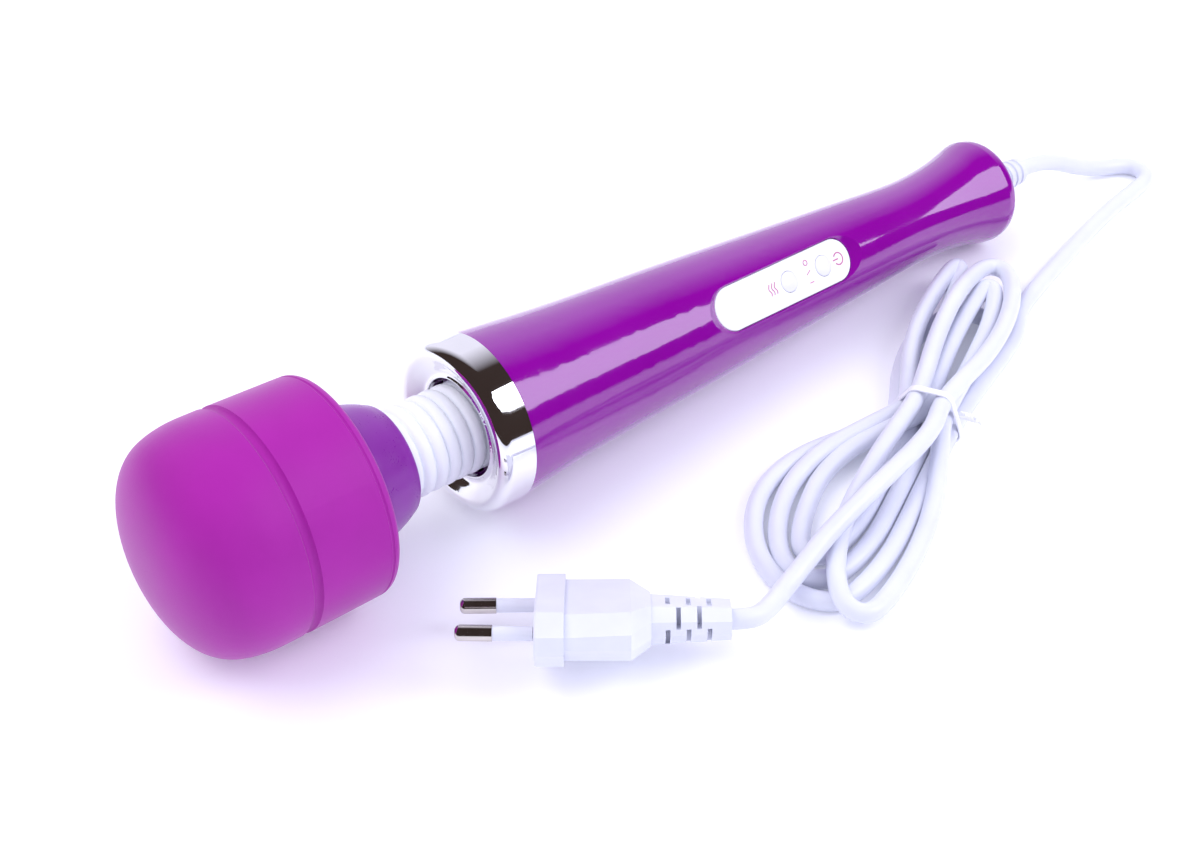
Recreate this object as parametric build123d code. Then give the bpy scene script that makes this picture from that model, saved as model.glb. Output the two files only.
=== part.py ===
from build123d import *
import math
import os

# Handheld wand massager with a mains lead, in millimetres, +Z up.
# The wand lies on the floor: head towards -X, tail towards +X, control panel
# rolled towards -Y. The origin is on the floor, under the middle of the wand.
# Every wand piece is drawn in the wand's own frame first: X along the axis, zero at
# the chrome ring's rear edge, +Z through the middle of the control panel.

os.makedirs("parts", exist_ok=True)

# ---- driving dimensions ----
RING_R = 23.5
HEAD_R = 29.9
TIP_X = -97.2
GROOVE_X = -68.8
RIM_X = -45.0
TAIL_X = 196.0
TAIL_R = 16.4
TAIL_R_X = 192.0
PANEL_ROLL = 51.5
RIM_R = HEAD_R - 0.3
RIM_ROUND = 2.6
# the wand lies on the rim of its head and on the flare of its tail
TILT = math.degrees(math.atan2(RIM_R - TAIL_R, TAIL_R_X - RIM_X + RIM_ROUND))

SKIN = 3.0            # silicone of the head cap
WALL = 2.2            # handle shells
CORE_WALL = 2.4       # head core
FIT = 0.05            # gap between parts pressed or stacked together
RUN = 0.04            # radial running clearance of a shaft

DOME_N = 3.94         # the dome is a superellipse turned about the axis
DOME_M = 2.27

CORD_R = 2.6
RELIEF_X = 215.0

# outer radius of the handle along its axis
HANDLE = [(0.3, 23.1), (28, 20.7), (61, 18.9), (94, 16.9), (122, 15.2), (146, 13.7),
          (164, 12.85), (172, 13.15), (180, 14.0), (186, 15.1), (TAIL_R_X, TAIL_R)]

# ---- placing ----
REST_LIFT = 0.02      # the rounded edges reach a little below their corners
AXIS_TURN = Rot(0, TILT, 0) * Rot(PANEL_ROLL, 0, 0)
TILT_COS = math.cos(math.radians(TILT))
TILT_SIN = math.sin(math.radians(TILT))
AXIS_Z = RIM_R * TILT_COS + (RIM_X - RIM_ROUND) * TILT_SIN + REST_LIFT
ORIGIN_X = (TIP_X + RELIEF_X) / 2
WAND = Pos(-ORIGIN_X * TILT_COS, 0, AXIS_Z) * AXIS_TURN

nodes = {}


def add(name, shape, place=WAND):
    """Keep one named piece, moved from its own frame to its place."""
    nodes[name] = place * shape


# ---- shape helpers ----
def group(shapes):
    """Separate solids kept together as one piece."""
    return Compound([solid for shape in shapes for solid in shape.solids()])


def turned(edges):
    """A solid turned about X from a closed outline of edges in the XZ plane."""
    return revolve(make_face(edges), Axis.X)


def lathe(*outline):
    """A solid turned about X from (x, radius) corners."""
    return turned(Polyline(*[(x, 0, r) for x, r in outline], close=True).edges())


def tube(x0, x1, r_in, r_out):
    return lathe((x0, r_in), (x1, r_in), (x1, r_out), (x0, r_out))


def rod(x0, x1, r):
    return lathe((x0, 0), (x1, 0), (x1, r), (x0, r))


def dome(radius, tip):
    """Half outline of a blunt dome, from the tip on the axis to the widest place."""
    points = []
    for u in (1, 0.985, 0.95, 0.88, 0.78, 0.62, 0.4, 0):
        r = radius * (1 - u ** DOME_N) ** (1 / DOME_M)
        points.append((GROOVE_X + (tip - GROOVE_X) * u, 0, r))
    return Spline(*points, tangents=[(0, 0, 1), (1, 0, 0)])


def line(a, b):
    return Line((a[0], 0, a[1]), (b[0], 0, b[1]))


def handle_radius(x, inset=0.0):
    """Outer radius of the handle at x, straight between its stations."""
    for (xa, ra), (xb, rb) in zip(HANDLE, HANDLE[1:]):
        if x <= xb:
            return ra + (rb - ra) * (x - xa) / (xb - xa) - inset
    return TAIL_R - inset


def handle_body(inset, x_end, tail_round):
    """The handle's turned volume, drawn smaller by inset, closed at x_end."""
    side = Spline(*[(x, 0, r - inset) for x, r in HANDLE], tangents=[(1, 0, -0.087), (1, 0, 0.12)])
    corner_r = TAIL_R - inset - tail_round
    corner = Spline((TAIL_R_X, 0, TAIL_R - inset), (x_end, 0, corner_r),
                    tangents=[(1, 0, 0), (0, 0, -1)])
    x0 = HANDLE[0][0]
    ends = [line((x_end, corner_r), (x_end, 0)), line((x_end, 0), (x0, 0)),
            line((x0, 0), (x0, HANDLE[0][1] - inset))]
    return turned([side, corner] + ends)


def helix_spring(x0, x1, mean_r, wire_r, pitch):
    """A coil spring about X between two wire-centre positions."""
    path = Helix(pitch=pitch, height=x1 - x0, radius=mean_r, direction=(0, 0, 1))
    profile = Plane(origin=path @ 0, z_dir=path % 0) * Circle(wire_r)
    return Pos(x0, 0, 0) * Rot(0, 90, 0) * sweep(profile, path=path, is_frenet=True)


def path_tube(points, radius):
    """A round tube along straight runs joined by the largest tangent arcs that fit."""
    pts = [Vector(*p) for p in points]
    radii = []
    for a, b, c in zip(pts, pts[1:], pts[2:]):
        turn = math.radians((b - a).get_angle(c - b))
        shorter = min((b - a).length, (c - b).length)
        radii.append(0.45 * shorter / math.tan(turn / 2))
    path = FilletPolyline(*pts, radius=radii)
    profile = Plane(origin=pts[0], z_dir=pts[1] - pts[0]) * Circle(radius)
    solid = sweep(profile, path=path)
    return solid, path, radii


# ---- head ----
CAP_BACK = 1.5
CORE_R = HEAD_R - SKIN - FIT
CORE_TIP = TIP_X + SKIN + FIT
CORE_SPLIT = -66.0
CORE_BACK = RIM_X - CAP_BACK
COLLAR_FLANGE_R = 20.4
BEARING_R = 9.5
BEARING_W = 6.0
SHAFT_R = 3.0


def head_cap():
    outer = dome(HEAD_R, TIP_X)
    inner = dome(HEAD_R - SKIN, TIP_X + SKIN)
    edge_r = RIM_R - RIM_ROUND
    rim = Spline((RIM_X - RIM_ROUND, 0, RIM_R), (RIM_X, 0, edge_r), tangents=[(1, 0, 0), (0, 0, -1)])
    back_r = COLLAR_FLANGE_R + FIT
    section = make_face([
        outer, line((GROOVE_X, HEAD_R), (RIM_X - RIM_ROUND, RIM_R)), rim,
        line((RIM_X, edge_r), (RIM_X, back_r)), line((RIM_X, back_r), (CORE_BACK, back_r)),
        line((CORE_BACK, back_r), (CORE_BACK, HEAD_R - SKIN)),
        line((CORE_BACK, HEAD_R - SKIN), (GROOVE_X, HEAD_R - SKIN)), inner,
        line((TIP_X + SKIN, 0), (TIP_X, 0))])
    groove = Pos(GROOVE_X, 0, HEAD_R + 0.55) * Rot(90, 0, 0) * Circle(1.5)
    crease = Pos(RIM_X - RIM_ROUND, 0, RIM_R + 0.25) * Rot(90, 0, 0) * Circle(0.5)
    lip = Pos(RIM_X, 0, HEAD_R - 5.2) * Rot(90, 0, 0) * Circle(0.45)
    return revolve(section - groove - crease - lip, Axis.X)


SCREW_RING_R = 23.0 - 1.7
SCREW_ANGLES = (30, 150, 270)


def around(angle, radius, shape):
    """Put a shape drawn on the axis at a radius and an angle about the axis."""
    return Rot(angle, 0, 0) * Pos(0, 0, radius) * shape


def head_core_front():
    outer = dome(CORE_R, CORE_TIP)
    inner = dome(CORE_R - CORE_WALL, CORE_TIP + CORE_WALL)
    r_in = CORE_R - CORE_WALL
    shape = turned([
        outer, line((GROOVE_X, CORE_R), (CORE_SPLIT, CORE_R)),
        line((CORE_SPLIT, CORE_R), (CORE_SPLIT, r_in)),
        line((CORE_SPLIT, r_in), (GROOVE_X, r_in)), inner, line((CORE_TIP + CORE_WALL, 0), (CORE_TIP, 0))])
    plate = tube(-83, -80, BEARING_R + FIT, r_in - 0.8)
    seat = tube(-87, -80, BEARING_R + FIT, BEARING_R + 2.4)
    shape = shape + plate + seat
    for angle in SCREW_ANGLES:
        post = around(angle, SCREW_RING_R, rod(-80.5, CORE_SPLIT, 2.4))
        shape = shape + post - around(angle, SCREW_RING_R, rod(-76, CORE_SPLIT + 1, 1.15))
    return shape


def head_core_rear():
    r_in = CORE_R - CORE_WALL
    x0 = CORE_SPLIT + FIT
    shape = lathe((x0, r_in), (x0, CORE_R), (CORE_BACK - FIT, CORE_R), (CORE_BACK - FIT, BEARING_R + FIT),
                  (-55.5, BEARING_R + FIT), (-55.5, BEARING_R + 2.4), (-50.5, BEARING_R + 2.4),
                  (-50.5, r_in))
    for angle in SCREW_ANGLES:
        post = around(angle, SCREW_RING_R, rod(x0, -50, 2.4))
        hole = around(angle, SCREW_RING_R, rod(x0 - 1, -40, 1.35))
        sink = around(angle, SCREW_RING_R, rod(-48.2, -40, 2.3))
        shape = shape + post - hole - sink
    return shape


def head_screws():
    screw = rod(-75, -48.1, 1.1) + rod(-48.2, -46.7, 2.1)
    return group([around(angle, SCREW_RING_R, screw) for angle in SCREW_ANGLES])


COLLAR_END = -29.0


def head_collar():
    x0 = CORE_BACK
    side = Spline((x0 + 2.0, 0, 20.0), (-38, 0, 18.3), (-31.2, 0, 15.7),
                  tangents=[(1, 0, -0.04), (1, 0, -0.55)])
    nose = Spline(side @ 1, (COLLAR_END, 0, 13.6), tangents=[side % 1, (0, 0, -1)])
    r_in = 12.45
    return turned([
        line((x0, r_in), (x0, COLLAR_FLANGE_R)), line((x0, COLLAR_FLANGE_R), (x0 + 2.0, 20.0)), side, nose,
        line((COLLAR_END, 13.6), (COLLAR_END, r_in)), line((COLLAR_END, r_in), (x0, r_in))])


def bearing(x0):
    """A plain closed ball bearing: races, shields and bore."""
    ring = tube(x0, x0 + BEARING_W, SHAFT_R + RUN, BEARING_R)
    for side in (x0, x0 + BEARING_W):
        ring = ring - tube(side - 0.3, side + 0.3, 5.4, 7.9)
    return ring


def eccentric_shaft():
    return rod(-88, -42.5, SHAFT_R) + rod(-42.6, -34.0, DRIVE_NOSE_R)


def eccentric_weight():
    disc = tube(-77, -57, SHAFT_R + 0.02, 17.0)
    cut = Pos(-67, 0, -14.6) * Box(30, 40, 20)
    return disc - cut


# ---- neck ----
BELLOWS_X0 = -34.0
BELLOWS_X1 = 2.9
BELLOWS_CREST = 12.2
BELLOWS_VALLEY = 11.0
BELLOWS_WALL = 1.6
FIRST_VALLEY = -26.0
RIDGE = 3.9
VALLEYS = 7
DRIVE_NOSE_R = 2.0


def bellows():
    """Wide rounded ridges with narrow grooves, and a plain cuff at each end."""
    outer = [(BELLOWS_X0, BELLOWS_CREST - 0.2)]
    for i in range(VALLEYS):
        x = FIRST_VALLEY + RIDGE * i
        outer += [(x - 0.75, BELLOWS_CREST), (x - 0.15, BELLOWS_VALLEY), (x + 0.15, BELLOWS_VALLEY),
                  (x + 0.75, BELLOWS_CREST)]
    outer.append((BELLOWS_X1, BELLOWS_CREST - 0.2))
    r_in = BELLOWS_VALLEY - BELLOWS_WALL
    return lathe(*outer, (BELLOWS_X1, r_in), (BELLOWS_X0, r_in))


def neck_hub_front():
    """Holds the neck spring and the bellows in the head's collar."""
    return lathe((CORE_BACK + FIT, 4.2), (CORE_BACK + FIT, 12.3), (-34.1, 12.3), (-34.1, 7.0), (-31.0, 7.0),
                 (-31.0, 4.2))


def neck_hub_rear():
    return lathe((3.0, 12.3), (3.0, 7.0), (0.0, 7.0), (0.0, 4.2), (9.0, 4.2), (9.0, 17.4), (3.0, 17.4))


# ---- chrome ring ----
RING_FRONT = -10.0
RING_HOLE_R = 13.4


def chrome_ring():
    crest = Spline((-6.6, 0, RING_R - 0.15), (-9.2, 0, 22.4), (RING_FRONT, 0, 20.9), (-9.3, 0, 18.9),
                   (-7.9, 0, 16.4), (-7.3, 0, 14.6), (-6.4, 0, RING_HOLE_R),
                   tangents=[(-1, 0, 0), (1, 0, -0.2)])
    return turned([
        line((0, RING_R), (-6.6, RING_R - 0.15)), crest, line((-6.4, RING_HOLE_R), (-2.2, RING_HOLE_R)),
        line((-2.2, RING_HOLE_R), (-2.2, 17.6)), line((-2.2, 17.6), (6.0, 17.6)),
        line((6.0, 17.6), (6.0, 20.2)),
        line((6.0, 20.2), (0, 20.2)), line((0, 20.2), (0, RING_R))])


def ring_liner():
    return tube(-2.1, 2.9, 12.75, 17.5)


# ---- handle shells ----
TAIL_WALL = 3.4
TAIL_ROUND = 2.8
PART_LINE = 0.06
BOSSES = [(68.5, 9.6, 3.1), (68.5, -9.6, 3.1), (146.0, 0.0, 3.0), (178.0, 6.6, 2.3), (178.0, -6.6, 2.3)]
SCREW_R = 1.2
SCREW_HEAD_R = 2.1
PANEL_X = 97.5
PANEL_Z = 15.2
PANEL_SLOPE = 3.8
PANEL = Pos(PANEL_X, 0, PANEL_Z) * Rot(0, PANEL_SLOPE, 0)
PANEL_L = 55.0
PANEL_W = 12.6
PANEL_T = 1.4
POWER_X = 16.2
MODE_X = 1.8
BUTTON_R = 3.0
BUTTON_GAP = 0.15
TAIL_BORE_R = 5.05


def stadium(length, width, z0, height, flare=0.0):
    """A round-ended slab in the panel's frame, optionally flaring upwards."""
    sketch = Pos(0, 0, z0) * SlotOverall(length, width)
    return extrude(sketch, amount=height, taper=-flare)


def shell_volume():
    hollow = handle_body(WALL, TAIL_X - TAIL_WALL, 3.6)
    hollow = hollow + rod(-1, 3.0, HANDLE[0][1] - WALL)
    body = handle_body(0, TAIL_X, TAIL_ROUND) - hollow
    pad = PANEL * stadium(PANEL_L + 5, PANEL_W + 3, -3.2, 3.0)
    body = body + (pad & handle_body(0.8, TAIL_X - 1, TAIL_ROUND))
    body = body - rod(TAIL_X - 8, TAIL_X + 1, TAIL_BORE_R)
    pocket = PANEL * stadium(PANEL_L + 0.3, PANEL_W + 0.3, -PANEL_T - 0.05, 3.0)
    flare = PANEL * stadium(PANEL_L + 1.0, PANEL_W + 0.6, 0.0, 2.4, flare=63)
    body = body - pocket - flare
    for x in (POWER_X, MODE_X):
        body = body - PANEL * Pos(x, 0, -3) * Cylinder(1.9, 8)
    return body


def boss_volume(side):
    """Screw posts on one side of the parting plane, merged with that side's wall."""
    inner = handle_body(0.9, TAIL_X - 1.5, 4.0)
    posts = Part()
    for x, y, r in BOSSES:
        posts = posts + Pos(x, y, side * (12 + PART_LINE)) * Cylinder(r, 24)
    return posts & inner


def screw_seat(x, y):
    """Height of a screw head's seat, measured down from the parting plane."""
    radius = handle_radius(x)
    return -(math.sqrt(radius ** 2 - y ** 2) - 3.6)


def front_shell(volume):
    top = split(volume, bisect_by=Plane.XY.offset(PART_LINE), keep=Keep.TOP)
    shell = top + boss_volume(1)
    for x, y, r in BOSSES:
        shell = shell - Pos(x, y, 3.5) * Cylinder(0.95, 7.2)
    return shell


def back_shell(volume):
    bottom = split(volume, bisect_by=Plane.XY.offset(-PART_LINE), keep=Keep.BOTTOM)
    shell = bottom + boss_volume(-1)
    for x, y, r in BOSSES:
        seat = screw_seat(x, y)
        shell = shell - Pos(x, y, -12) * Cylinder(SCREW_R + 0.15, 24.6)
        shell = shell - Pos(x, y, seat - 10) * Cylinder(SCREW_HEAD_R + 0.2, 20)
    return shell


def shell_screws():
    screws = []
    for x, y, r in BOSSES:
        seat = screw_seat(x, y)
        shank = Pos(x, y, (seat + 6.0) / 2) * Cylinder(0.9, 6.0 - seat)
        head = Pos(x, y, seat - 0.85) * Cylinder(SCREW_HEAD_R, 1.6)
        slot = Pos(x, y, seat - 1.65) * (Box(2.6, 0.6, 1.0) + Box(0.6, 2.6, 1.0))
        screws.append(shank + head - slot)
    return group(screws)


# ---- motor ----
CAN_X0 = 14.0
CAN_X1 = 58.0
CAN_R = 14.0
CAN_WALL = 1.0


def motor_can():
    return lathe((CAN_X0, 2.4), (CAN_X0, CAN_R), (CAN_X1, CAN_R), (CAN_X1, CAN_R - CAN_WALL),
                 (CAN_X0 + CAN_WALL, CAN_R - CAN_WALL), (CAN_X0 + CAN_WALL, 2.4))


def motor_magnets():
    full = tube(19, 51, 10.4, CAN_R - CAN_WALL - FIT)
    keep = Pos(35, 0, 14) * Box(40, 22, 28) + Pos(35, 0, -14) * Box(40, 22, 28)
    window = Pos(35, 0, 0) * Box(40, 40, 13)
    return (full & keep) - window


def motor_shaft():
    return rod(-1.0, 61.5, DRIVE_NOSE_R)


def armature():
    stack = tube(20, 48, DRIVE_NOSE_R + 0.02, 9.8)
    for i in range(5):
        slot = Rot(72 * i, 0, 0) * Pos(34, 0, 7.4) * Box(40, 2.2, 6)
        stack = stack - slot
    windings = tube(17.5, 19.95, 3.0, 8.4) + tube(48.05, 50.5, 3.0, 8.4)
    return stack, windings


def commutator():
    drum = tube(51.5, 56.5, DRIVE_NOSE_R + 0.02, 4.2)
    for i in range(5):
        drum = drum - Rot(72 * i + 36, 0, 0) * Pos(54, 0, 4.2) * Box(8, 0.5, 1.2)
    return drum


def motor_end_bell():
    bell = lathe((CAN_X1 + FIT, DRIVE_NOSE_R + RUN), (CAN_X1 + FIT, CAN_R), (62.0, CAN_R - 1.5),
                 (62.0, DRIVE_NOSE_R + RUN))
    return bell


def motor_brushes():
    blocks = [Pos(54, 0, s * 6.4) * Box(3.5, 3, 4.0) for s in (1, -1)]
    return group(blocks)


def front_bushing():
    sleeve = tube(CAN_X0 - 1.5, CAN_X0 + 2.5, DRIVE_NOSE_R + RUN, 2.35)
    return sleeve + tube(CAN_X0 - 1.5, CAN_X0 - FIT, 2.3, 4.5)


def motor_mount(x0, x1):
    """A rubber ring with soft ribs between the motor and the shells."""
    r_out = handle_radius(x1, WALL + 0.3)
    ring = tube(x0, x1, CAN_R + FIT, r_out - 1.0)
    for i in range(8):
        rib = Rot(45 * i + 22.5, 0, 0) * Pos((x0 + x1) / 2, 0, r_out - 1.6) * Box(x1 - x0, 3, 3)
        ring = ring + (rib & tube(x0, x1, CAN_R + 0.5, r_out))
    return ring


# ---- electronics and controls ----
BOARD_Z = -8.2
BOARD_T = 1.6
BOARD_L = 50.0
BOARD_W = 16.0
SWITCH_H = 3.2
TRAVEL = 0.5


def circuit_board():
    board = Pos(0, 0, BOARD_Z - BOARD_T / 2) * Box(BOARD_L, BOARD_W, BOARD_T)
    return PANEL * fillet(board.edges().filter_by(Axis.Z), 1.5)


def tact_switches():
    bodies = []
    for x in (POWER_X, MODE_X):
        case = Pos(x, 0, BOARD_Z + 1.6) * Box(6, 6, SWITCH_H)
        stem = Pos(x, 0, BOARD_Z + SWITCH_H + 0.3) * Cylinder(1.5, 0.6)
        bodies.append(PANEL * (case + stem))
    return group(bodies)


def capacitor():
    can = Rot(0, 90, 0) * Cylinder(4.6, 18)
    can = fillet(can.edges(), 0.6)
    return PANEL * Pos(-14, 0, BOARD_Z - BOARD_T - 4.7) * can


def rectifier():
    body = Pos(4, 0, BOARD_Z - BOARD_T - 2.3) * Box(8, 8, 4.5)
    return PANEL * chamfer(body.edges().filter_by(Axis.Z), 0.8)


def choke():
    ring = Torus(4.4, 2.1)
    return PANEL * Pos(18, 0, BOARD_Z - BOARD_T - 2.2) * ring


def control_panel():
    plate = stadium(PANEL_L, PANEL_W, -PANEL_T, PANEL_T)
    plate = fillet(plate.edges().group_by(Axis.Z)[-1], 0.35)
    for x in (POWER_X, MODE_X):
        plate = plate - Pos(x, 0, 0) * Cylinder(BUTTON_R + BUTTON_GAP, 6)
    return PANEL * plate


def button(x):
    """A domed cap with a stem that reaches the switch under the shell."""
    cap = Pos(0, 0, -0.35) * Cylinder(BUTTON_R, 0.9)
    sphere_r = (BUTTON_R ** 2 + 0.7 ** 2) / (2 * 0.7)
    crown = Pos(0, 0, 0.8 - sphere_r) * Sphere(sphere_r) & Pos(0, 0, 1.1) * Cylinder(BUTTON_R, 2.02)
    stem_top = -0.5
    stem_end = BOARD_Z + SWITCH_H + 0.6 + TRAVEL + 0.2
    stem = Pos(0, 0, (stem_top + stem_end) / 2) * Cylinder(1.6, stem_top - stem_end)
    return PANEL * Pos(x, 0, 0) * (cap + crown + stem)


# ---- tail ----
def strain_relief():
    """Flange inside the tail wall, then a ribbed taper round the cord."""
    outline = [(190.4, CORD_R + FIT), (190.4, 7.5), (TAIL_X - TAIL_WALL - FIT, 7.5),
               (TAIL_X - TAIL_WALL - FIT, TAIL_BORE_R - FIT), (TAIL_X + FIT, TAIL_BORE_R - FIT),
               (TAIL_X + FIT, 5.6)]
    ribs = 6
    first = TAIL_X + 1.6
    step = (RELIEF_X - first) / ribs
    for i in range(ribs):
        x = first + step * i
        r = 5.6 - 0.24 * i
        outline += [(x, r), (x + 0.2, r - 0.75), (x + 1.0, r - 0.75), (x + 1.2, r - 0.1)]
    outline += [(RELIEF_X, 4.2), (RELIEF_X, CORD_R + FIT)]
    return lathe(*outline)


def cord_clamp():
    """A bar across the cord, screwed to the two rear posts."""
    return Pos(171.2, 0, 0) * (Box(4, 15, 5.5) - Rot(0, 90, 0) * Cylinder(CORD_R + FIT, 12))


def supply_wires():
    """Two cores from the end of the cord's sheath to the board, one pair to the motor."""
    wires = []
    for s in (1, -1):
        wires.append(path_tube([(164.7, 1.2 * s, 0), (156, 1.6 * s, 0.6), (148, 5.6 * s, 2.0),
                                (136, 6.2 * s, 3.0), (122.8, 5.4 * s, 3.0)], 0.6)[0])
        wires.append(path_tube([(62.1, 5.5 * s, 0), (65.5, 5.4 * s, 0.8), (68.6, 4.4 * s, 3.2),
                                (71.0, 3.8 * s, 6.2)], 0.6)[0])
    return group(wires)


# ---- plug ----
PLUG_AXIS = 39.66      # degrees the plug's cord end points from +X towards -Y
PLUG_LEAN = 25.0       # degrees the near edge is lifted
PLUG_FACE = (-83.7, -54.3, 11.85)
PLUG = Pos(*PLUG_FACE) * Rot(0, 0, -PLUG_AXIS) * Rot(-PLUG_LEAN, 0, 0)
PIN_R = 2.0
PIN_L = 19.0
SLEEVE_L = 10.0
PIN_SPREAD = 9.3
PIN_TOE = 1.66
RELIEF_L = 19.3
FLANGE_T = 7.0
SHOULDER = 22.8
SLOT = 1.1
GRIP_END = 27.7


def octagon(x, wide, thick, corner):
    """Flattened eight-sided section across the plug at x."""
    w, t = wide / 2, thick / 2
    pts = [(x, w - corner, t), (x, w, t - corner), (x, w, -t + corner), (x, w - corner, -t),
           (x, -w + corner, -t), (x, -w, -t + corner), (x, -w, t - corner), (x, -w + corner, t)]
    return make_face(Polyline(*pts, close=True).edges())


def plug_body():
    flange = loft([octagon(0, 34.9, 13.3, 4.5), octagon(0.5, 35.3, 13.7, 4.6)])
    flange = flange + loft([octagon(0.5, 35.3, 13.7, 4.6), octagon(FLANGE_T, 35.3, 13.7, 4.6)])
    grip = loft([octagon(FLANGE_T, 32.2, 11.6, 4.2), octagon(SHOULDER, 30.6, 12.4, 4.2)])
    neck = loft([octagon(SHOULDER, 30.6, 12.4, 4.2), octagon(GRIP_END, 15.4, 10.6, 3.2)])
    return flange + grip + neck


def plug_relief():
    sleeve = loft([octagon(GRIP_END, 14.4, 9.8, 3.0), octagon(GRIP_END + RELIEF_L, 11.2, 8.2, 2.6)])
    for i in range(3):
        x = GRIP_END + 4.0 + 5.0 * i
        for s in (1, -1):
            sleeve = sleeve - Pos(x, s * 7, -2.4) * Box(SLOT, 8.8, 4.6)
            if i < 2:
                sleeve = sleeve - Pos(x + 2.5, s * 7, 2.2) * Box(SLOT, 8.8, 4.6)
            sleeve = sleeve - Pos(x, 0, s * 4.9) * Box(SLOT, 4.4, 3.2)
    return sleeve


def pin_frame(s):
    return Pos(0, s * PIN_SPREAD, 0) * Rot(0, 0, s * PIN_TOE)


def plug_pins():
    pins = []
    for s in (1, -1):
        pin = Rot(0, 90, 0) * Cylinder(PIN_R, PIN_L - SLEEVE_L)
        pin = fillet(pin.faces().sort_by(Axis.X)[0].edges(), 1.3)
        pins.append(pin_frame(s) * Pos(-(PIN_L + SLEEVE_L) / 2, 0, 0) * pin)
    return group(pins)


def plug_sleeves():
    sleeve = Rot(0, 90, 0) * Cylinder(PIN_R - 0.25, SLEEVE_L - 0.4)
    return group([pin_frame(s) * Pos(-SLEEVE_L / 2 - 0.2, 0, 0) * sleeve for s in (1, -1)])


# ---- cord ----
FLOOR_GAP = 0.1
LIE = CORD_R + FLOOR_GAP
EXIT = WAND * Pos(RELIEF_X, 0, 0)
EXIT_P = EXIT.position
PLUG_END = (PLUG * Pos(GRIP_END + RELIEF_L, 0, 0)).position
PLUG_STUB = (PLUG * Pos(GRIP_END + RELIEF_L + 5.5, 0, 0)).position
EXIT_STUB = (WAND * Pos(RELIEF_X + 8.5, 0, 0)).position
LEAD = [(EXIT_P.X, EXIT_P.Y, EXIT_P.Z), (EXIT_STUB.X, EXIT_STUB.Y, EXIT_STUB.Z), (173.5, -1.6, 12.2),
        (183.5, -3.6, 7.2), (193.5, -5.6, 3.6), (203.2, -9.0, LIE), (205.2, -14.2, LIE),
        (202.5, -19.1, LIE), (192.5, -21.0, LIE), (179.0, -22.6, LIE), (161.0, -26.6, LIE),
        (142.0, -31.4, LIE), (125.0, -36.0, LIE), (113.0, -39.8, LIE)]
PLUG_RUN = [(PLUG_END.X, PLUG_END.Y, PLUG_END.Z), (PLUG_STUB.X, PLUG_STUB.Y, PLUG_STUB.Z),
            (-37.0, -86.6, 10.4), (-29.5, -83.6, 9.0), (-20.5, -81.2, 8.5)]

# the hank in its own frame, X along it: two lobes pinched by the tie
HANK_TOP = 14.5
BUNDLE = Pos(47.4, -59.4, 0) * Rot(0, 0, 26)
HANK = [(67.0, -14.5), (78.0, -9.0), (80.0, 2.0), (76.0, 12.0), (64.0, 15.5), (44.0, 16.3),
        (22.0, 14.5), (4.0, 12.5), (-10.0, 21.0), (-22.0, 30.5), (-38.0, 34.0), (-54.0, 32.5),
        (-66.0, 25.5), (-75.0, 15.0), (-78.0, 2.0), (-77.0, -8.0), (-70.0, -14.5), (-56.0, -16.0),
        (-38.0, -16.0), (-20.0, -13.5), (-4.0, -10.5), (8.0, -10.8), (24.0, -13.0), (45.0, -15.5)]
TIE_X = 4.0
TIE_Y = 1.1
TIE_W = 1.8
WAIST = 23.9
TIE_T = 0.9


def hank():
    outline = Spline(*[(x, y, FLOOR_GAP) for x, y in HANK], periodic=True)
    slab = extrude(make_face(outline), amount=HANK_TOP - FLOOR_GAP, dir=(0, 0, 1))
    return BUNDLE * fillet(slab.edges().group_by(Axis.Z)[-1], 3.0)


def cord_tie(bundle):
    """A thin twist tie over the waist of the hank."""
    top = HANK_TOP + TIE_T
    hoop = Box(TIE_W, WAIST + 2 * TIE_T, top)
    hoop = fillet(hoop.edges().filter_by(Axis.X).group_by(Axis.Z)[-1], 3.0)
    return BUNDLE * Pos(TIE_X, TIE_Y, top / 2 + FLOOR_GAP) * hoop - bundle


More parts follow.
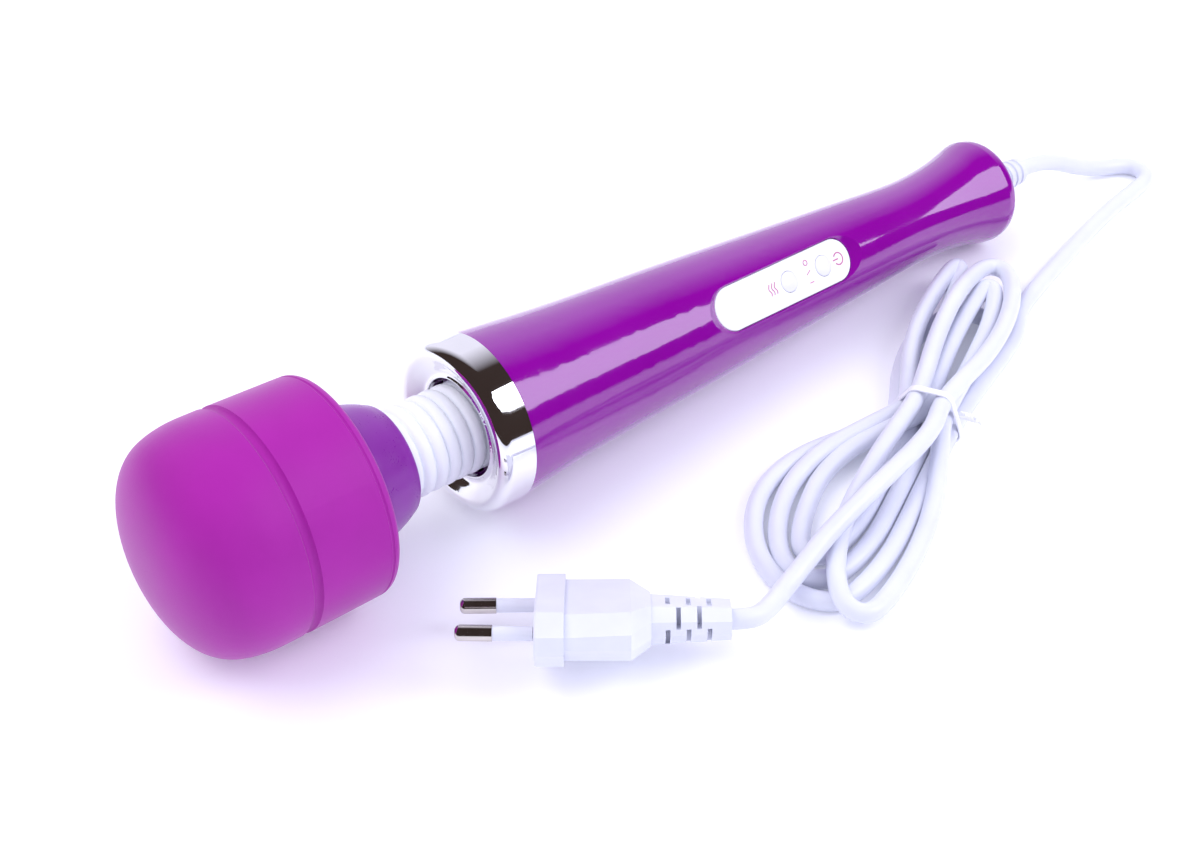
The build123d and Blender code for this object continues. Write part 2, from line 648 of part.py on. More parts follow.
def build():
    add("head_cap", head_cap())
    add("head_core_front", head_core_front())
    add("head_core_rear", head_core_rear())
    add("head_screws", head_screws())
    add("head_collar", head_collar())
    add("front_bearing", bearing(-86.9))
    add("rear_bearing", bearing(-55.4))
    add("eccentric_shaft", eccentric_shaft())
    add("eccentric_weight", eccentric_weight())
    add("neck_hub_front", neck_hub_front())
    add("neck_hub_rear", neck_hub_rear())
    add("bellows", bellows())
    add("neck_spring", helix_spring(-33.1, 2.0, 8.2, 0.85, 4.4))
    add("drive_spring", helix_spring(-41.5, 8.0, 2.65, 0.42, 2.6))
    add("chrome_ring", chrome_ring())
    add("ring_liner", ring_liner())
    volume = shell_volume()
    add("front_shell", front_shell(volume))
    add("back_shell", back_shell(volume))
    add("shell_screws", shell_screws())
    add("motor_can", motor_can())
    add("motor_magnets", motor_magnets())
    add("motor_shaft", motor_shaft())
    stack, windings = armature()
    add("armature", stack)
    add("armature_windings", windings)
    add("commutator", commutator())
    add("motor_end_bell", motor_end_bell())
    add("motor_brushes", motor_brushes())
    add("front_bushing", front_bushing())
    add("motor_mount_front", motor_mount(18.0, 24.0))
    add("motor_mount_rear", motor_mount(48.0, 54.0))
    add("circuit_board", circuit_board())
    add("tact_switches", tact_switches())
    add("capacitor", capacitor())
    add("rectifier", rectifier())
    add("choke", choke())
    add("control_panel", control_panel())
    add("power_button", button(POWER_X))
    add("mode_button", button(MODE_X))
    add("strain_relief", strain_relief())
    add("cord_clamp", cord_clamp())
    add("supply_wires", supply_wires())
    add("cord_inside", rod(165.0, RELIEF_X, CORD_R))
    add("plug_body", plug_body(), PLUG)
    add("plug_relief", plug_relief(), PLUG)
    add("plug_pins", plug_pins(), PLUG)
    add("plug_sleeves", plug_sleeves(), PLUG)
    here = Location()
    bundle = hank()
    for name, route in (("cord_lead", LEAD), ("cord_plug_run", PLUG_RUN)):
        solid, path, radii = path_tube(route, CORD_R)
        add(name, solid - bundle, here)
        share = solid.volume / (math.pi * CORD_R ** 2 * path.length)
        print(name, "length", round(path.length, 1), "volume share", round(share, 4))
        print("  radii", [round(r, 1) for r in radii])
    add("cord_hank", bundle, here)
    add("cord_tie", cord_tie(bundle), here)


build()
for name in ("head_cap", "front_shell", "back_shell", "chrome_ring", "plug_body", "plug_relief"):
    print(name, "lowest point", round(nodes[name].bounding_box().min.Z, 3))
for name, shape in nodes.items():
    export_step(shape, f"parts/{name}.step")
print("nodes", len(nodes))
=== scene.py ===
import math

import bpy
from mathutils import Matrix, Vector


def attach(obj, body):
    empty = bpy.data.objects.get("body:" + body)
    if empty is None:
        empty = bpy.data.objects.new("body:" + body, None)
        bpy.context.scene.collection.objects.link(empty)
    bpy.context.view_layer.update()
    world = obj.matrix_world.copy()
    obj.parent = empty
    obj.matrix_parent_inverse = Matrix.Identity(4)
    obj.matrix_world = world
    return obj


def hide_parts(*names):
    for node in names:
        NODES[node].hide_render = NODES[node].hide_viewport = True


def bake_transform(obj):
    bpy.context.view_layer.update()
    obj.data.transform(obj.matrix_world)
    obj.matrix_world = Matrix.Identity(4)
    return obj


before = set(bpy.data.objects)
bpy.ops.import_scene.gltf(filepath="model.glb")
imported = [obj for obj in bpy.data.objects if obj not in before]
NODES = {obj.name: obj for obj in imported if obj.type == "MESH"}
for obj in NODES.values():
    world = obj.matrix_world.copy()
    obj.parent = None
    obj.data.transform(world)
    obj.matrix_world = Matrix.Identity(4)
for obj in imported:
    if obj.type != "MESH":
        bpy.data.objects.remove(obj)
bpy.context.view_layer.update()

# A handheld wand massager lying on a pale table, its lead tied in a hank. Metres,
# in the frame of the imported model. Lengths below are in millimetres until placed.
MM = 0.001
scene = bpy.context.scene


# ---- places ----
TILT = math.radians(3.1533410882271853)     # the wand lies on its head's rim and its tail
ROLL = math.radians(51.5)                   # the panel is rolled towards the viewer
WAND_MIDDLE_X = 58.9
AXIS_HEIGHT = 26.956782
AXIS_START = Vector((-WAND_MIDDLE_X * math.cos(TILT), 0.0, AXIS_HEIGHT))
WAND = Matrix.Translation(AXIS_START) @ Matrix.Rotation(TILT, 4, "Y") @ Matrix.Rotation(ROLL, 4, "X")
PANEL_PLACE = (97.5, 0, 15.2)               # the middle of the panel's face, along and above the axis
PANEL_SLOPE = math.radians(3.8)
PANEL = WAND @ Matrix.Translation(PANEL_PLACE) @ Matrix.Rotation(PANEL_SLOPE, 4, "Y")
BUNDLE_PLACE = (47.4, -59.4, 0)             # the hank, on the table
BUNDLE_TURN = math.radians(26)
BUNDLE = Matrix.Translation(BUNDLE_PLACE) @ Matrix.Rotation(BUNDLE_TURN, 4, "Z")


def placed(place, point):
    """A point in millimetres in a place's own frame, in metres in the row frame."""
    return (place @ Vector(point)) * MM


# ---- materials ----
def linear(rgb):
    """An sRGB colour out of 255 as linear values."""
    out = []
    for c in rgb:
        c = c / 255
        out.append(c / 12.92 if c <= 0.04045 else ((c + 0.055) / 1.055) ** 2.4)
    return out


def shade(rgb, k):
    """An sRGB colour made k times as bright, as linear values with alpha."""
    return [min(1.0, c * k) for c in linear(rgb)] + [1.0]


NOISE_LOW, NOISE_HIGH = 0.3, 0.7            # most of a noise value lies between these
SMOOTHEST = 0.01


def surface(name, rgb, rough, metal=0.0, grain=1.0, bump=0.02, patch=12.0, vary=0.05, rough_vary=0.05,
            **sockets):
    """Moulded or turned finish. The fine bump is grain wide and bump high, and the slow change in
    colour and roughness is patch wide, all in millimetres; the rest sets shader sockets by name."""
    mat = bpy.data.materials.new(name)
    mat.use_nodes = True
    tree = mat.node_tree
    shader = tree.nodes["Principled BSDF"]
    coord = tree.nodes.new("ShaderNodeTexCoord")
    slow = tree.nodes.new("ShaderNodeTexNoise")
    slow.inputs["Scale"].default_value = 1 / (patch * MM)
    slow.inputs["Detail"].default_value = 3.0
    fine = tree.nodes.new("ShaderNodeTexNoise")
    fine.inputs["Scale"].default_value = 1 / (grain * MM)
    fine.inputs["Detail"].default_value = 4.0
    for noise in (slow, fine):
        tree.links.new(coord.outputs["Object"], noise.inputs["Vector"])
    ramp = tree.nodes.new("ShaderNodeValToRGB")
    ramp.color_ramp.elements[0].position = NOISE_LOW
    ramp.color_ramp.elements[0].color = shade(rgb, 1 - vary)
    ramp.color_ramp.elements[1].position = NOISE_HIGH
    ramp.color_ramp.elements[1].color = shade(rgb, 1 + vary)
    tree.links.new(slow.outputs["Fac"], ramp.inputs["Fac"])
    tree.links.new(ramp.outputs["Color"], shader.inputs["Base Color"])
    spread = tree.nodes.new("ShaderNodeMapRange")
    spread.inputs["From Min"].default_value = NOISE_LOW
    spread.inputs["From Max"].default_value = NOISE_HIGH
    spread.inputs["To Min"].default_value = max(SMOOTHEST, rough - rough_vary)
    spread.inputs["To Max"].default_value = rough + rough_vary
    mixed = tree.nodes.new("ShaderNodeMath")
    mixed.operation = "ADD"
    half = tree.nodes.new("ShaderNodeMath")
    half.operation = "MULTIPLY"
    half.inputs[1].default_value = 0.5
    tree.links.new(slow.outputs["Fac"], mixed.inputs[0])
    tree.links.new(fine.outputs["Fac"], mixed.inputs[1])
    tree.links.new(mixed.outputs[0], half.inputs[0])
    tree.links.new(half.outputs[0], spread.inputs["Value"])
    tree.links.new(spread.outputs["Result"], shader.inputs["Roughness"])
    dent = tree.nodes.new("ShaderNodeBump")
    dent.inputs["Strength"].default_value = 1.0
    dent.inputs["Distance"].default_value = bump * MM
    tree.links.new(fine.outputs["Fac"], dent.inputs["Height"])
    tree.links.new(dent.outputs["Normal"], shader.inputs["Normal"])
    shader.inputs["Metallic"].default_value = metal
    for socket, value in sockets.items():
        shader.inputs[socket.replace("_", " ")].default_value = value
    return mat


FINISH = {
    "silicone_purple": surface("silicone_purple", (164, 22, 156), 0.52, grain=0.35, bump=0.012,
                               patch=16, vary=0.04, Sheen_Weight=0.22, Sheen_Roughness=0.4,
                               Specular_IOR_Level=0.3),
    "collar_plastic": surface("collar_plastic", (130, 34, 152), 0.3, grain=0.5, bump=0.006, patch=10),
    "shell_plastic": surface("shell_plastic", (134, 0, 146), 0.1, grain=8.0, bump=0.0008, patch=30,
                             vary=0.03, rough_vary=0.03, Coat_Weight=0.6, Coat_Roughness=0.04),
    "core_plastic": surface("core_plastic", (150, 150, 158), 0.5, grain=0.6, bump=0.02),
    "bellows_tpe": surface("bellows_tpe", (240, 242, 249), 0.42, grain=0.5, bump=0.01, patch=8,
                           vary=0.02),
    "ring_chrome": surface("ring_chrome", (238, 238, 240), 0.045, metal=1.0, grain=9.0, bump=0.002,
                           patch=9, vary=0.02, rough_vary=0.02),
    "liner_plastic": surface("liner_plastic", (126, 20, 146), 0.35, grain=0.5, bump=0.01),
    "turned_steel": surface("turned_steel", (190, 190, 194), 0.28, metal=1.0, grain=0.3, bump=0.006),
    "screw_steel": surface("screw_steel", (168, 168, 172), 0.36, metal=1.0, grain=0.3, bump=0.006),
    "can_steel": surface("can_steel", (176, 178, 182), 0.4, metal=1.0, grain=0.4, bump=0.008),
    "magnet_ferrite": surface("magnet_ferrite", (58, 58, 62), 0.7, grain=0.3, bump=0.02),
    "winding_copper": surface("winding_copper", (196, 104, 52), 0.35, metal=1.0, grain=0.25, bump=0.05),
    "bell_plastic": surface("bell_plastic", (226, 222, 208), 0.5, grain=0.5, bump=0.015),
    "carbon": surface("carbon", (34, 34, 36), 0.65, grain=0.25, bump=0.02),
    "board_laminate": surface("board_laminate", (38, 104, 60), 0.42, grain=0.4, bump=0.015),
    "component_black": surface("component_black", (26, 26, 28), 0.5, grain=0.4, bump=0.015),
    "capacitor_can": surface("capacitor_can", (40, 48, 92), 0.35, grain=0.5, bump=0.01),
    "mount_rubber": surface("mount_rubber", (30, 30, 32), 0.8, grain=0.4, bump=0.03),
    "panel_white": surface("panel_white", (243, 243, 248), 0.3, grain=0.8, bump=0.004, patch=10,
                           vary=0.015),
    "button_white": surface("button_white", (236, 236, 246), 0.32, grain=0.6, bump=0.004, patch=4,
                            vary=0.02),
    "cord_pvc": surface("cord_pvc", (222, 224, 238), 0.36, grain=1.2, bump=0.02, patch=14, vary=0.03,
                        rough_vary=0.07),
    "relief_pvc": surface("relief_pvc", (222, 224, 236), 0.4, grain=0.8, bump=0.012, patch=6, vary=0.03),
    "plug_pvc": surface("plug_pvc", (224, 226, 238), 0.4, grain=0.7, bump=0.014, patch=9, vary=0.03),
    "pin_nickel": surface("pin_nickel", (206, 200, 196), 0.14, metal=1.0, grain=0.6, bump=0.004,
                          patch=4),
    "tie_white": surface("tie_white", (242, 242, 250), 0.3, grain=0.4, bump=0.02, patch=3, vary=0.02),
    "wire_pvc": surface("wire_pvc", (180, 40, 40), 0.45, grain=0.5, bump=0.01),
    "clamp_plastic": surface("clamp_plastic", (200, 200, 204), 0.5, grain=0.5, bump=0.015),
}
MARK_INK = surface("mark_ink", (196, 96, 150), 0.45, grain=0.3, bump=0.004, patch=2, vary=0.06)

# every CAD node keeps its slots and gets the finish of the same name
for node in NODES.values():
    for slot in node.material_slots:
        key = slot.material.name.split(".")[0]
        if key in FINISH:
            slot.material = FINISH[key]
        else:
            print("no finish for", node.name, slot.material.name)


# ---- mesh helpers ----
def piece(name, verts, faces, finish, sharp=35):
    """A mesh object from points in metres, smooth but for edges sharper than the angle given."""
    mesh = bpy.data.meshes.new(name)
    mesh.from_pydata([tuple(v) for v in verts], [], faces)
    mesh.polygons.foreach_set("use_smooth", [True] * len(mesh.polygons))
    mesh.set_sharp_from_angle(angle=math.radians(sharp))
    mesh.materials.append(finish)
    mesh.update()
    obj = bpy.data.objects.new(name, mesh)
    scene.collection.objects.link(obj)
    return obj


def ring_faces(rings, size, closed):
    """Quads joining rings of the same number of points, in order."""
    faces = []
    for i in range(rings if closed else rings - 1):
        a, b = i * size, (i + 1) % rings * size
        for j in range(size):
            k = (j + 1) % size
            faces.append((a + j, a + k, b + k, b + j))
    return faces


def lathe(name, outline, finish, steps=120, sharp=35):
    """A closed outline of (x, radius) turned about the wand's axis."""
    verts = []
    for i in range(steps):
        turn = 2 * math.pi * i / steps
        verts += [placed(WAND, (x, r * math.sin(turn), r * math.cos(turn))) for x, r in outline]
    return piece(name, verts, ring_faces(steps, len(outline), True), finish, sharp)


TUBE_END = 0.55                             # how far a tube narrows at its two ends


def tube_mesh(points, radius, sides):
    """Verts and faces of a round tube with narrowed, capped ends along points in millimetres."""
    pts = [Vector(p) for p in points]
    verts = []
    side = None
    for i, p in enumerate(pts):
        ahead = (pts[min(i + 1, len(pts) - 1)] - pts[max(i - 1, 0)]).normalized()
        if side is None:
            side = ahead.orthogonal().normalized()
        side = (side - ahead * side.dot(ahead)).normalized()
        up = ahead.cross(side)
        near = min(i, len(pts) - 1 - i)
        r = radius * (TUBE_END if near == 0 else 1.0)
        for j in range(sides):
            turn = 2 * math.pi * j / sides
            verts.append(p + (side * math.cos(turn) + up * math.sin(turn)) * r)
    faces = ring_faces(len(pts), sides, False)
    faces.append(tuple(reversed(range(sides))))
    last = (len(pts) - 1) * sides
    faces.append(tuple(range(last, last + sides)))
    return verts, faces


def joined(parts):
    """Several (verts, faces) as one."""
    verts, faces = [], []
    for v, f in parts:
        start = len(verts)
        verts += list(v)
        faces += [tuple(start + i for i in face) for face in f]
    return verts, faces


# ---- bellows and the springs in it ----
BELLOWS_X0 = -34.0
BELLOWS_X1 = 2.9
CREST = 12.25                               # outer radius on a ridge
VALLEY = 11.0                               # outer radius in a groove
INNER = 9.4
FIRST_VALLEY = -26.0
RIDGE = 3.9                                 # from groove to groove
SPLIT = FIRST_VALLEY + 2 * RIDGE            # the groove between the neck's two hinges
VALLEY_LIST = [FIRST_VALLEY + RIDGE * i for i in range(7)]
BULGE = 2.6                                 # the ridge's cross-section is a superellipse
BULGE_ROOT = 0.62
OUTER_STEP = 0.26
INNER_STEPS = 24
TURN_STEPS = 28                             # points along one turn of a spring
WIRE_SIDES = 8


def bellows_radius(x):
    """Crowned ridges with narrow round-bottomed grooves between them."""
    nearest = min(VALLEY_LIST, key=lambda v: abs(v - x))
    away = min(1.0, abs(x - nearest) / (RIDGE / 2))
    return VALLEY + (CREST - VALLEY) * (1 - (1 - away) ** BULGE) ** BULGE_ROOT


def bellows_half(name, x0, x1):
    """The bellows between two places on the axis, with many rings so that it can bend."""
    steps = round((x1 - x0) / OUTER_STEP)
    outer = [(x0 + (x1 - x0) * i / steps, bellows_radius(x0 + (x1 - x0) * i / steps))
             for i in range(steps + 1)]
    inner = [(x1 + (x0 - x1) * i / INNER_STEPS, INNER) for i in range(INNER_STEPS + 1)]
    return lathe(name, outer + inner, FINISH["bellows_tpe"], sharp=70)


def spring_half(name, x0, x1, mean_r, wire_r, pitch):
    """A coil spring between two places on the axis."""
    steps = round((x1 - x0) / pitch * TURN_STEPS)
    line = []
    for i in range(steps + 1):
        x = x0 + (x1 - x0) * i / steps
        turn = 2 * math.pi * x / pitch
        line.append(WAND @ Vector((x, mean_r * math.cos(turn), mean_r * math.sin(turn))))
    verts, faces = tube_mesh(line, wire_r, WIRE_SIDES)
    return piece(name, [v * MM for v in verts], faces, FINISH["turned_steel"])


def bend_rear(obj):
    """The half next to the handle, with its place baked into its mesh."""
    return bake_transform(obj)


def bend_front(obj):
    """The half next to the head, with its place baked into its mesh."""
    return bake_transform(obj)


bellows_rear = bend_rear(bellows_half("bellows_rear", SPLIT, BELLOWS_X1))
bellows_front = bend_front(bellows_half("bellows_front", BELLOWS_X0, SPLIT))
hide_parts("bellows")
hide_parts("bellows")
NECK_COIL = {"mean_r": 8.2, "wire_r": 0.85, "pitch": 4.4}
DRIVE_COIL = {"mean_r": 2.65, "wire_r": 0.42, "pitch": 2.6}
spring_rear = bend_rear(spring_half("neck_spring_rear", SPLIT, 2.0, **NECK_COIL))
spring_front = bend_front(spring_half("neck_spring_front", -33.1, SPLIT, **NECK_COIL))
for half in (spring_rear, spring_front):
    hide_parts("neck_spring")
drive_rear = bend_rear(spring_half("drive_spring_rear", SPLIT, 8.0, **DRIVE_COIL))
drive_front = bend_front(spring_half("drive_spring_front", -41.5, SPLIT, **DRIVE_COIL))
for half in (drive_rear, drive_front):
    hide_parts("drive_spring")

# ---- lead, hank and the run to the plug ----
# In the hank's own frame the first number runs along it, the second across it and the third is
# the height. Strands pass under the tie in three layers of slots, given as (across, height).
CORD_R = 2.6
LIE = 2.7                                   # height of a cord that lies on the table
TIE_PLACE = 4.0                             # where the tie goes round, along the hank
LOW = [(7.8, LIE), (2.6, LIE), (-2.6, LIE), (-7.8, LIE)]
MID = [(5.2, 7.2), (0.0, 7.2), (-5.2, 7.2)]
TOP = [(2.6, 11.7), (-4.2, 12.0)]
# each turn: its slot, its lower lobe (swing out, tip, swing back), the next slot, its upper lobe
TURNS = [
    (LOW[3], ((-7.6, LIE), (-73.0, 4.0, LIE), (31.5, LIE)),
     LOW[0], ((13.8, LIE), (59.5, -2.0, LIE), (-6.6, LIE))),
    (LOW[2], ((-2.2, LIE), (-66.5, 9.0, LIE), (25.2, LIE)),
     MID[0], ((13.0, 9.6), (73.5, 10.6, 8.4), (7.0, 7.8))),
    (LOW[1], ((3.2, LIE), (-58.5, 11.5, LIE), (18.8, LIE)),
     MID[1], ((1.8, 7.7), (67.5, -0.8, 8.2), (-6.2, 7.8))),
    (MID[2], ((-13.2, LIE), (-75.0, -7.5, 5.2), (6.6, 8.1)),
     TOP[0], ((5.8, 12.8), (77.5, -0.2, 8.2), (-10.8, 10.6))),
]
# one side of a lobe: how far along, how much of its swing and how much of its height at each point
ALONG = (0.17, 0.34, 0.52, 0.70, 0.88, 1.0)
SWELL = (0.38, 0.80, 1.0, 0.97, 0.74, 0.34)
CLIMB = (0.12, 0.5, 0.9, 1.0, 0.6, 0.15)
# the loose run from the tail out to its sharp turn and back to the hank, in the row frame
LEAD = [(155.864, 0, 15.13), (164.35, 0, 14.66), (173.5, -1.6, 12.2), (183.5, -3.6, 7.2),
        (193.5, -5.6, 3.6), (203.2, -9.0, LIE), (205.2, -14.2, LIE), (202.5, -19.1, LIE),
        (192.5, -21.0, LIE), (179.0, -22.6, LIE), (161.0, -26.6, LIE), (142.0, -31.4, LIE),
        (125.0, -36.0, LIE), (113.0, -39.8, LIE)]
INTO = [(55, -13.6, LIE), (42, -12.2, LIE), (29, -10.2, LIE), (16, -8.6, LIE)]
OUT = [(-8, -5.4, 12.8), (-21, -3.2, 13.4), (-35, 0.6, 13.6), (-48, 4.2, 13.4), (-60, 7.6, 12.2)]
TO_PLUG = [(-20.5, -81.2, 9.6), (-29.5, -83.6, 9.0), (-37.0, -86.6, 10.4), (-43.3, -87.8, 11.85),
           (-47.5, -84.3, 11.85)]


def side(slot, swing, tip):
    """One side of a lobe, from its slot under the tie out to the lobe's tip."""
    out = []
    for i, (along, swell, climb) in enumerate(zip(ALONG, SWELL, CLIMB)):
        base = slot if i < len(ALONG) // 2 else tip[1:]
        out.append((TIE_PLACE + (tip[0] - TIE_PLACE) * along,
                    base[0] + (swing[0] - base[0]) * swell,
                    base[1] + (swing[1] - base[1]) * climb))
    return out


def lobe(start, swings, end):
    """A whole lobe, from one slot round its tip and back to another slot."""
    go, tip, back = swings
    return side(start, go, tip) + side(end, back, tip)[::-1]


def hank():
    """Every turn of the hank, one after the other, ending in the top slot."""
    points = []
    for i, (down, low_lobe, up, high_lobe) in enumerate(TURNS):
        after = TURNS[i + 1][0] if i + 1 < len(TURNS) else TOP[1]
        points += [(TIE_PLACE, *down)] + lobe(down, low_lobe, up)
        points += [(TIE_PLACE, *up)] + lobe(up, high_lobe, after)
    return points + [(TIE_PLACE, *TOP[1])]


route = [Vector(p) * MM for p in LEAD]
route += [placed(BUNDLE, p) for p in INTO + hank() + OUT]
route += [Vector(p) * MM for p in TO_PLUG]


def cord_curve(name, points, radius, finish):
    """A round cord as one smooth curve drawn near its points."""
    data = bpy.data.curves.new(name, "CURVE")
    data.dimensions = "3D"
    data.bevel_depth = radius
    data.bevel_resolution = 6
    data.resolution_u = 8
    data.use_fill_caps = True
    spline = data.splines.new("NURBS")
    spline.points.add(len(points) - 1)
    for point, p in zip(spline.points, points):
        point.co = (*p, 1.0)
    spline.order_u = 3
    spline.use_endpoint_u = True
    data.materials.append(finish)
    obj = bpy.data.objects.new(name, data)
    scene.collection.objects.link(obj)
    return obj


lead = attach(cord_curve("mains_lead", route, CORD_R * MM, FINISH["cord_pvc"]), "handle")
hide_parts("cord_lead", "cord_hank", "cord_plug_run")

# ---- twist tie round the hank ----
TIE_W = 2.2                                 # width of the band
TIE_T = 0.7                                 # its thickness
TIE_GAP = 0.15                              # between the band and the strands
STRAND_SIDES = 28
LOWEST = 0.12                               # the band is pressed flat where it meets the table
TIE_KNOT = (TIE_PLACE, -11.3, 9.6)
TIE_AWAY = (-0.42, -0.72, 0.30)
KNOT_ACROSS, KNOT_LIFT = 1.6, 0.9           # from the knot to where each end leaves the band
TIE_WIRE_R = 0.52
TWIST_R = 0.55
TWIST_TURNS = 1.6
TWIST_STEPS = 24
FLARE_STEPS = 7


def hull(points):
    """The convex outline of points in a plane, turning left."""
    pts = sorted(set(points))

    def half(seq):
        out = []
        for p in seq:
            while len(out) > 1 and ((out[-1][0] - out[-2][0]) * (p[1] - out[-2][1])
                                    - (out[-1][1] - out[-2][1]) * (p[0] - out[-2][0])) <= 0:
                out.pop()
            out.append(p)
        return out[:-1]

    return half(pts) + half(pts[::-1])


def tie_band():
    """A thin flat band drawn tight over the strands that pass through it."""
    wrapped = []
    for v, z in LOW + MID + TOP:
        for j in range(STRAND_SIDES):
            turn = 2 * math.pi * j / STRAND_SIDES
            wrapped.append((round(v + (CORD_R + TIE_GAP) * math.cos(turn), 4),
                            round(max(LOWEST, z + (CORD_R + TIE_GAP) * math.sin(turn)), 4)))
    loop = hull(wrapped)
    count = len(loop)
    # the band's cross-section as parts of its width and thickness, with a wire's bulge at each edge
    section = [(-0.5, 0.15), (-0.5, 0.7), (-0.36, 1.0), (-0.16, 0.86), (0.16, 0.86), (0.36, 1.0),
               (0.5, 0.7), (0.5, 0.15), (0.36, 0.0), (-0.36, 0.0)]
    verts = []
    for i, (v, z) in enumerate(loop):
        before, after = loop[i - 1], loop[(i + 1) % count]
        run = Vector((after[0] - before[0], after[1] - before[1])).normalized()
        for w, t in section:
            height = max(z - run.x * t * TIE_T, 0.1 - 0.07 * t)
            verts.append((TIE_PLACE + w * TIE_W, v + run.y * t * TIE_T, height))
    return verts, ring_faces(count, len(section), True)


def tie_ends():
    """The two ends twisted together at the near side, then splayed."""
    knot = Vector(TIE_KNOT)
    away = Vector(TIE_AWAY).normalized()
    across = away.orthogonal().normalized()
    lift = away.cross(across)
    parts = []
    for phase in (0.0, math.pi):
        line = [knot + Vector((0, KNOT_ACROSS, KNOT_LIFT if phase else -KNOT_LIFT))]
        for i in range(TWIST_STEPS + 1):
            s = i / TWIST_STEPS
            turn = phase + s * TWIST_TURNS * 2 * math.pi
            around = (across * math.cos(turn) + lift * math.sin(turn)) * TWIST_R
            line.append(knot + away * (0.4 + 3.4 * s) + around)
        flare = (across * math.cos(phase + 1.2) + lift * math.sin(phase + 1.2))
        end = line[-1]
        for i in range(1, FLARE_STEPS + 1):
            s = i / FLARE_STEPS
            sag = Vector((0, 0, -0.8 * s * s))
            line.append(end + away * (1.5 * s) + flare * (1.6 * s * s) + sag)
        parts.append(tube_mesh(line, TIE_WIRE_R, 10))
    return joined(parts)


verts, faces = joined([tie_band(), tie_ends()])
tie = piece("twist_tie", [placed(BUNDLE, v) for v in verts], faces, FINISH["tie_white"], 50)
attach(tie, "handle")
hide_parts("cord_tie")

# ---- printed marks on the control panel ----
MARK_H = 0.06                               # how far a mark stands above the panel
MARK_SINK = 0.02                            # and how far it reaches into it


def ribbon(line, width):
    """A flat raised stroke along points in the panel's plane."""
    pts = [Vector(p) for p in line]
    verts = []
    for i, p in enumerate(pts):
        run = (pts[min(i + 1, len(pts) - 1)] - pts[max(i - 1, 0)]).normalized()
        out = Vector((-run.y, run.x)) * width / 2
        for k, z in ((-1, -MARK_SINK), (-1, MARK_H), (1, MARK_H), (1, -MARK_SINK)):
            verts.append((p.x + out.x * k, p.y + out.y * k, z))
    faces = ring_faces(len(pts), 4, False)
    last = (len(pts) - 1) * 4
    return verts, faces + [(3, 2, 1, 0), (last, last + 1, last + 2, last + 3)]


def arc(cx, cy, r, a0, a1, steps=40):
    """Points along an arc between two angles in degrees."""
    return [(cx + r * math.cos(math.radians(a0 + (a1 - a0) * i / steps)),
             cy + r * math.sin(math.radians(a0 + (a1 - a0) * i / steps))) for i in range(steps + 1)]


def wave(x, length, swing, steps=24):
    """Points along a wavy stroke across the panel."""
    return [(x + swing * math.sin(2 * math.pi * WAVES * i / steps), -length / 2 + length * i / steps)
            for i in range(steps + 1)]


WAVES = 1.25
WAVE_GAP = 1.15
POWER_MARK_X = 22.8
WAVE_MARK_X = -5.0
SWITCH_MARK_X = 10.0
# a power symbol, three waves, and a bar, a slash and a ring between the buttons
strokes = [ribbon(arc(POWER_MARK_X, 0, 1.75, 215, 505), 0.36),
           ribbon([(POWER_MARK_X - 2.3, 0), (POWER_MARK_X - 0.1, 0)], 0.36)]
strokes += [ribbon(wave(WAVE_MARK_X + WAVE_GAP * k, 3.4, 0.3), 0.28) for k in (-1, 0, 1)]
strokes += [ribbon([(SWITCH_MARK_X - 0.8, -3.0), (SWITCH_MARK_X + 0.8, -3.0)], 0.26),
            ribbon([(SWITCH_MARK_X - 0.9, -0.5), (SWITCH_MARK_X + 0.9, 0.5)], 0.22),
            ribbon(arc(SWITCH_MARK_X, 2.9, 0.75, 0, 360), 0.26)]
verts, faces = joined(strokes)
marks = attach(piece("panel_marks", [placed(PANEL, v) for v in verts], faces, MARK_INK), "handle")

# ---- floor, light and camera ----
floor_mesh = bpy.data.meshes.new("floor")
FLOOR = 6.0                                 # half of its side, in metres
floor_mesh.from_pydata([(-FLOOR, -FLOOR, 0), (FLOOR, -FLOOR, 0), (FLOOR, FLOOR, 0), (-FLOOR, FLOOR, 0)],
                       [], [(0, 1, 2, 3)])
floor_mesh.materials.append(surface("floor_paper", (247, 247, 250), 0.55, grain=1.4, bump=0.01,
                                    patch=60, vary=0.01, Specular_IOR_Level=0.25,
                                    Emission_Color=(0.80, 0.83, 1.0, 1.0), Emission_Strength=0.14))
floor = bpy.data.objects.new("floor", floor_mesh)
scene.collection.objects.link(floor)

# The world lights everything evenly, but glossy rays see a room that is dark on one side
# and bright on the other, which gives the shells and the chrome their reflections.
AMBIENT = (0.80, 0.81, 0.98, 1.0)
AMBIENT_STRENGTH = 0.92
BRIGHT_SIDE = (0.62, 0.785, 0.0)
ROOM_DARK = (0.045, 0.03, 0.027, 1.0)
ROOM_BRIGHT = (0.98, 0.96, 1.12, 1.0)
world = bpy.data.worlds.new("studio")
scene.world = world
world.use_nodes = True
tree = world.node_tree
tree.nodes.clear()
out = tree.nodes.new("ShaderNodeOutputWorld")
plain = tree.nodes.new("ShaderNodeBackground")
plain.inputs["Color"].default_value = AMBIENT
plain.inputs["Strength"].default_value = AMBIENT_STRENGTH
room = tree.nodes.new("ShaderNodeBackground")
room.inputs["Strength"].default_value = 1.0
rays = tree.nodes.new("ShaderNodeLightPath")
mix = tree.nodes.new("ShaderNodeMixShader")
coord = tree.nodes.new("ShaderNodeTexCoord")
toward = tree.nodes.new("ShaderNodeVectorMath")
toward.operation = "DOT_PRODUCT"
toward.inputs[1].default_value = BRIGHT_SIDE
drop = tree.nodes.new("ShaderNodeValToRGB")
drop.color_ramp.elements[0].position = 0.40
drop.color_ramp.elements[0].color = ROOM_DARK
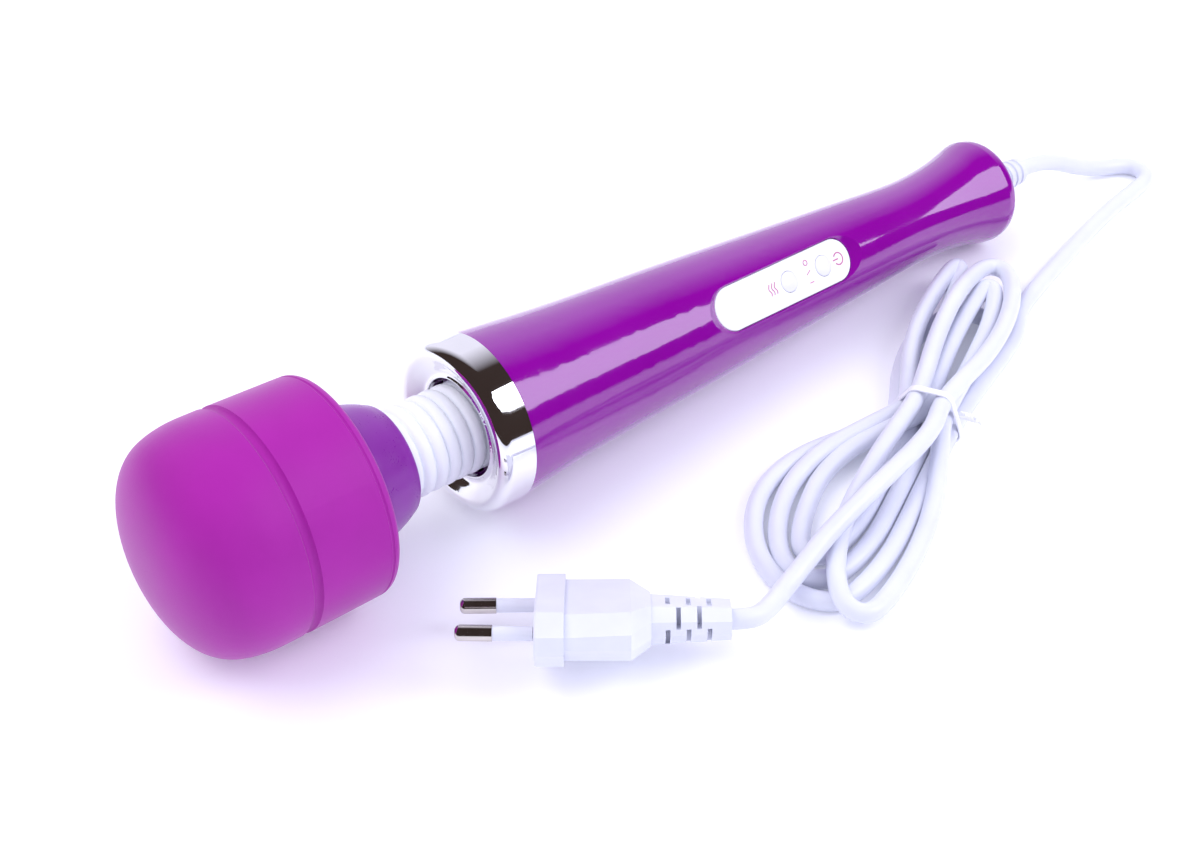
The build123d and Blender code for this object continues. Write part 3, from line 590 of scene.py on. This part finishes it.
drop.color_ramp.elements[1].position = 0.80
drop.color_ramp.elements[1].color = ROOM_BRIGHT
tree.links.new(coord.outputs["Generated"], toward.inputs[0])
tree.links.new(toward.outputs["Value"], drop.inputs["Fac"])
tree.links.new(drop.outputs["Color"], room.inputs["Color"])
tree.links.new(rays.outputs["Is Glossy Ray"], mix.inputs["Fac"])
tree.links.new(plain.outputs[0], mix.inputs[1])
tree.links.new(room.outputs[0], mix.inputs[2])
tree.links.new(mix.outputs[0], out.inputs["Surface"])

AIM = Vector((0.03, -0.02, 0.01))


def softbox(name, azimuth, elevation, distance, width, height, power, color, glossy=True, aim=AIM):
    """A rectangular lamp facing its aim: degrees, metres and watts."""
    data = bpy.data.lights.new(name, "AREA")
    data.shape = "RECTANGLE"
    data.size = width
    data.size_y = height
    data.energy = power
    data.color = color
    obj = bpy.data.objects.new(name, data)
    az, el = math.radians(azimuth), math.radians(elevation)
    away = Vector((math.cos(el) * math.cos(az), math.cos(el) * math.sin(az), math.sin(el)))
    obj.location = aim + away * distance
    obj.rotation_euler = away.to_track_quat("Z", "Y").to_euler()
    obj.visible_glossy = glossy
    scene.collection.objects.link(obj)


RING = Vector((-0.058, 0, 0.027))
softbox("strip_box", -42, 36, 0.9, 0.40, 0.58, 3.3, (0.90, 0.90, 1.0), aim=RING)
softbox("overhead", 135, 58, 1.5, 1.5, 1.2, 11.5, (1.0, 0.99, 0.94), glossy=False)
softbox("front_fill", -110, 40, 1.7, 1.2, 1.0, 1.1, (1.0, 0.98, 0.98), glossy=False)

CAMERA_PLACE = Vector((-263.33, -295.32, 328.91))
CAMERA_AZIMUTH = 50.35
CAMERA_ELEVATION = 40.52
camera_data = bpy.data.cameras.new("camera")
camera_data.lens = 54.0
camera_data.sensor_width = 36.0
camera_data.sensor_fit = "HORIZONTAL"
camera_data.clip_start = 0.01
camera = bpy.data.objects.new("camera", camera_data)
camera.location = CAMERA_PLACE * MM
camera.rotation_euler = (math.radians(90 - CAMERA_ELEVATION), 0.0, math.radians(CAMERA_AZIMUTH - 90))
scene.collection.objects.link(camera)
scene.camera = camera
scene.view_settings.view_transform = "Standard"
